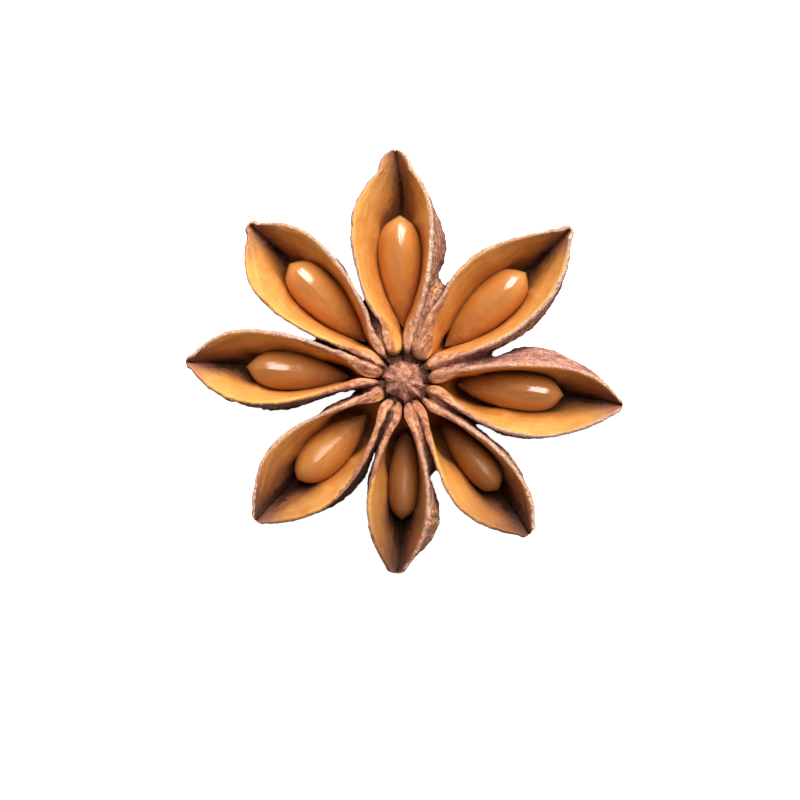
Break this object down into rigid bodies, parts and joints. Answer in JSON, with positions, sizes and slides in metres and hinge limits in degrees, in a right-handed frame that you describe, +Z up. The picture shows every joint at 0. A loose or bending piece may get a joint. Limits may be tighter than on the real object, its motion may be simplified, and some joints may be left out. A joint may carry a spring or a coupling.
{
  "type": "star anise pod",
  "caption": "Dried star-shaped spice pod: open, boat-shaped woody husks round a short column, a glossy seed lying in each husk.",
  "frame": {"origin": "centre of the stalk scar under the column, on the plane that the pod rests on", "axes": "+Z up along the column, out of the pod's open side; +Y towards the longest husk, which lies 2 degrees off it"},
  "size_m": [0.0333, 0.0322, 0.0082],
  "materials": {
    "husk": "dry, matt, wrinkled outside and smooth inside",
    "seed": "hard and glossy",
    "column": "dry, rough"
  },
  "bodies": {
    "root": {"carpel_n": "husk", "carpel_ne": "husk", "carpel_e": "husk", "carpel_se": "husk", "carpel_s": "husk", "carpel_sw": "husk", "carpel_w": "husk", "carpel_nw": "husk", "seed_n": "seed", "seed_ne": "seed", "seed_e": "seed", "seed_se": "seed", "seed_s": "seed", "seed_sw": "seed", "seed_w": "seed", "seed_nw": "seed", "column": "column"}
  },
  "joints": []
}
